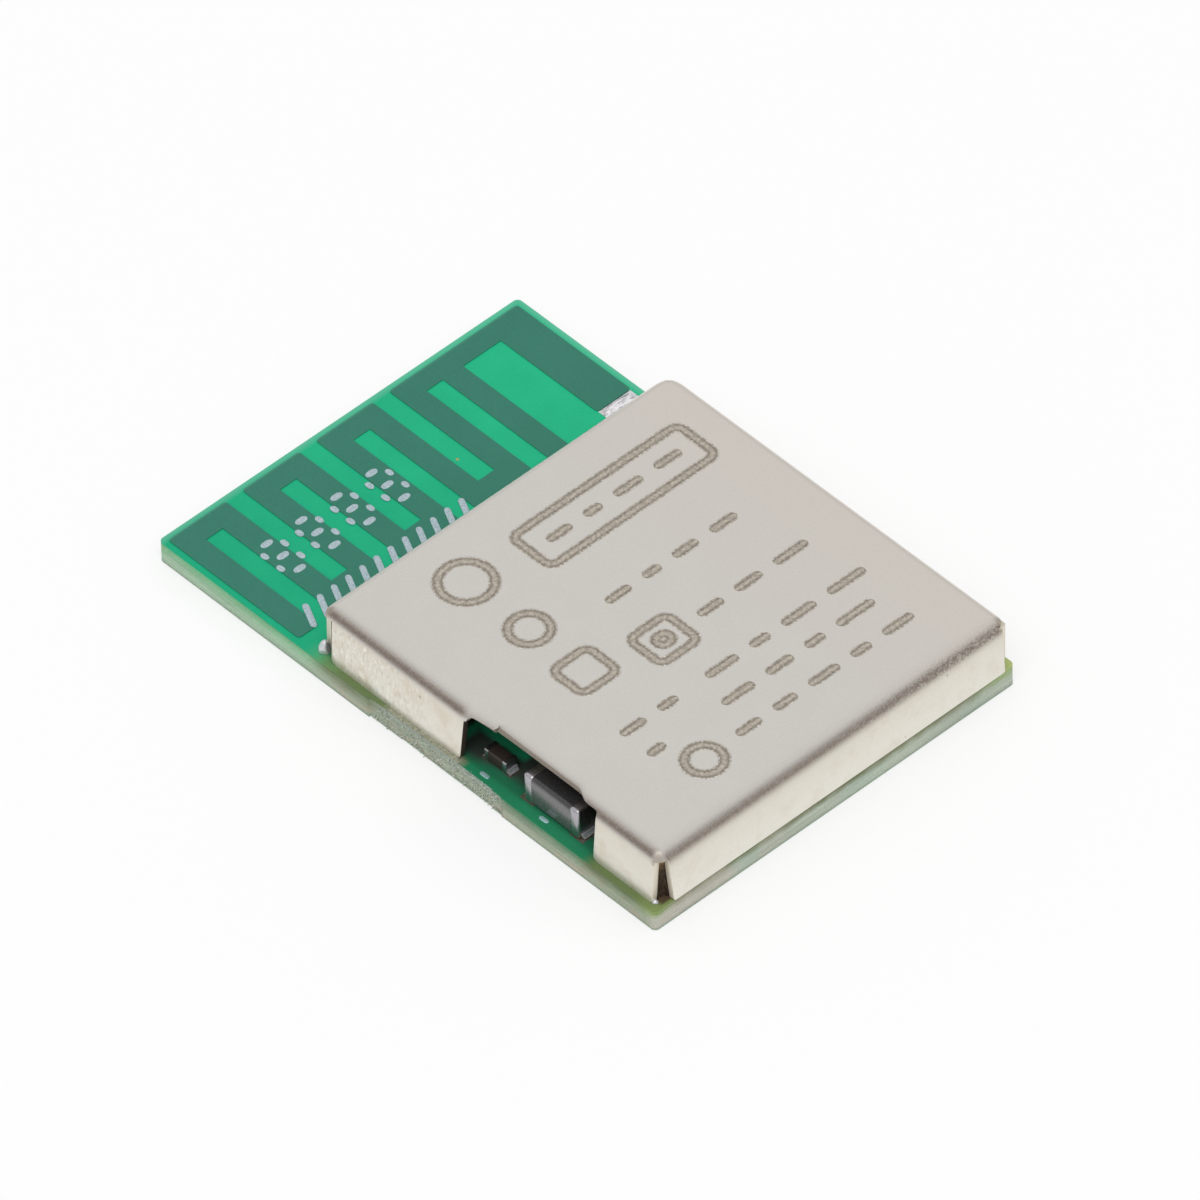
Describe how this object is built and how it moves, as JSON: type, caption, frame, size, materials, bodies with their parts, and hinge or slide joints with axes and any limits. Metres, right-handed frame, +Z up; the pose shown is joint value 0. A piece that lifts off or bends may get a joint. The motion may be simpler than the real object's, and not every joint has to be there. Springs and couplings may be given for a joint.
{
  "type": "bluetooth module",
  "caption": "Small rectangular radio module: green circuit board with a printed meander aerial at one end and a folded metal shield with a side window over the radio parts.",
  "frame": {"origin": "middle of the board's underside", "axes": "+Z up through the shield's top, +Y along the board towards the aerial end, +X across the board"},
  "size_m": [0.0102, 0.015, 0.0019],
  "materials": {
    "laminate": "matt cut edge of glass-fibre laminate",
    "solder_mask": "glossy green solder mask, darker over copper",
    "copper": "etched copper under the mask",
    "gold_lands": "gold over nickel, satin",
    "solder": "bright tin solder",
    "shield_sheet": "satin rolled nickel silver",
    "chip_case": "black moulding compound",
    "ferrite": "dark ferrite with tinned ends",
    "capacitor_ceramic": "tan ceramic with tinned ends",
    "crystal_ceramic": "dark ceramic base",
    "crystal_lid": "plated metal lid"
  },
  "bodies": {
    "root": {"board_laminate": "laminate", "solder_mask_top": "solder_mask", "solder_mask_bottom": "solder_mask", "module_lands": "gold_lands", "aerial_copper": "copper", "aerial_solder": "solder", "shield_lands": "solder", "shield_can": "shield_sheet", "shield_solder": "solder", "component_pads": "solder", "component_solder": "solder", "radio_chip": "chip_case", "radio_chip_terminals": "solder", "main_crystal_base": "crystal_ceramic", "main_crystal_lid": "crystal_lid", "sleep_crystal_base": "crystal_ceramic", "sleep_crystal_lid": "crystal_lid", "converter_inductor": "ferrite", "converter_capacitor": "capacitor_ceramic", "bypass_capacitor_1": "capacitor_ceramic", "bypass_capacitor_2": "capacitor_ceramic", "bypass_capacitor_3": "capacitor_ceramic", "bypass_capacitor_4": "capacitor_ceramic", "bypass_capacitor_5": "capacitor_ceramic", "bypass_capacitor_6": "capacitor_ceramic", "load_capacitor_1": "capacitor_ceramic", "load_capacitor_2": "capacitor_ceramic", "load_capacitor_3": "capacitor_ceramic", "load_capacitor_4": "capacitor_ceramic", "matching_inductor_1": "ferrite", "matching_inductor_2": "ferrite", "matching_capacitor_1": "capacitor_ceramic", "matching_capacitor_2": "capacitor_ceramic"}
  },
  "joints": []
}
